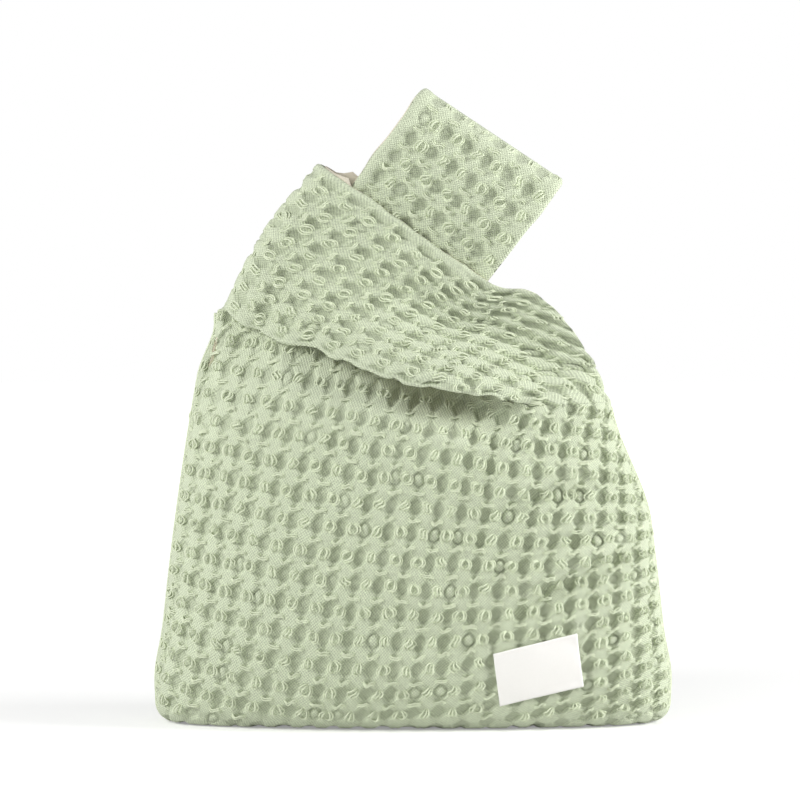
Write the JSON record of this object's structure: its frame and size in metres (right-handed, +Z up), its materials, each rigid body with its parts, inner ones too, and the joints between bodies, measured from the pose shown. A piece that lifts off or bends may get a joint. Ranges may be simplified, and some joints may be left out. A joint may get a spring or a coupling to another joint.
{
  "type": "wrist bag",
  "caption": "Knot style wrist bag in waffle cotton, with a folded short handle, a long handle drawn through it and a wrist loop.",
  "frame": {"origin": "centre of the base, on the surface that the bag stands on", "axes": "+Z up, +X to the right in the front view, the front faces -Y"},
  "size_m": [0.2457, 0.0822, 0.3054],
  "materials": {
    "waffle_cotton": "matt, giant waffle weave",
    "lining_cotton": "matt, plain weave",
    "label_tape": "matt, close plain weave"
  },
  "bodies": {
    "bag": {"front_panel": "waffle_cotton", "back_panel": "waffle_cotton", "front_lining": "lining_cotton", "back_lining": "lining_cotton", "short_handle_front": "waffle_cotton", "short_handle_back": "waffle_cotton", "short_handle_front_lining": "lining_cotton", "short_handle_back_lining": "lining_cotton", "label": "label_tape"},
    "long_handle": {"long_handle_front": "waffle_cotton", "long_handle_back": "waffle_cotton", "long_handle_front_lining": "lining_cotton", "long_handle_back_lining": "lining_cotton"},
    "wrist_loop": {"wrist_loop_front": "waffle_cotton", "wrist_loop_back": "waffle_cotton", "wrist_loop_front_lining": "lining_cotton", "wrist_loop_back_lining": "lining_cotton"}
  },
  "joints": [
    {"name": "wrist_loop_pull", "type": "slide", "parent": "bag", "child": "long_handle", "axis": [0.6, 0, 0.8], "range_m": [0, 0.03]},
    {"name": "wrist_loop_swing", "type": "hinge", "parent": "long_handle", "child": "wrist_loop", "pos_m": [0.006, 0, 0.2398], "axis": [0.8, 0, -0.6], "range_deg": [-45, 45]}
  ]
}
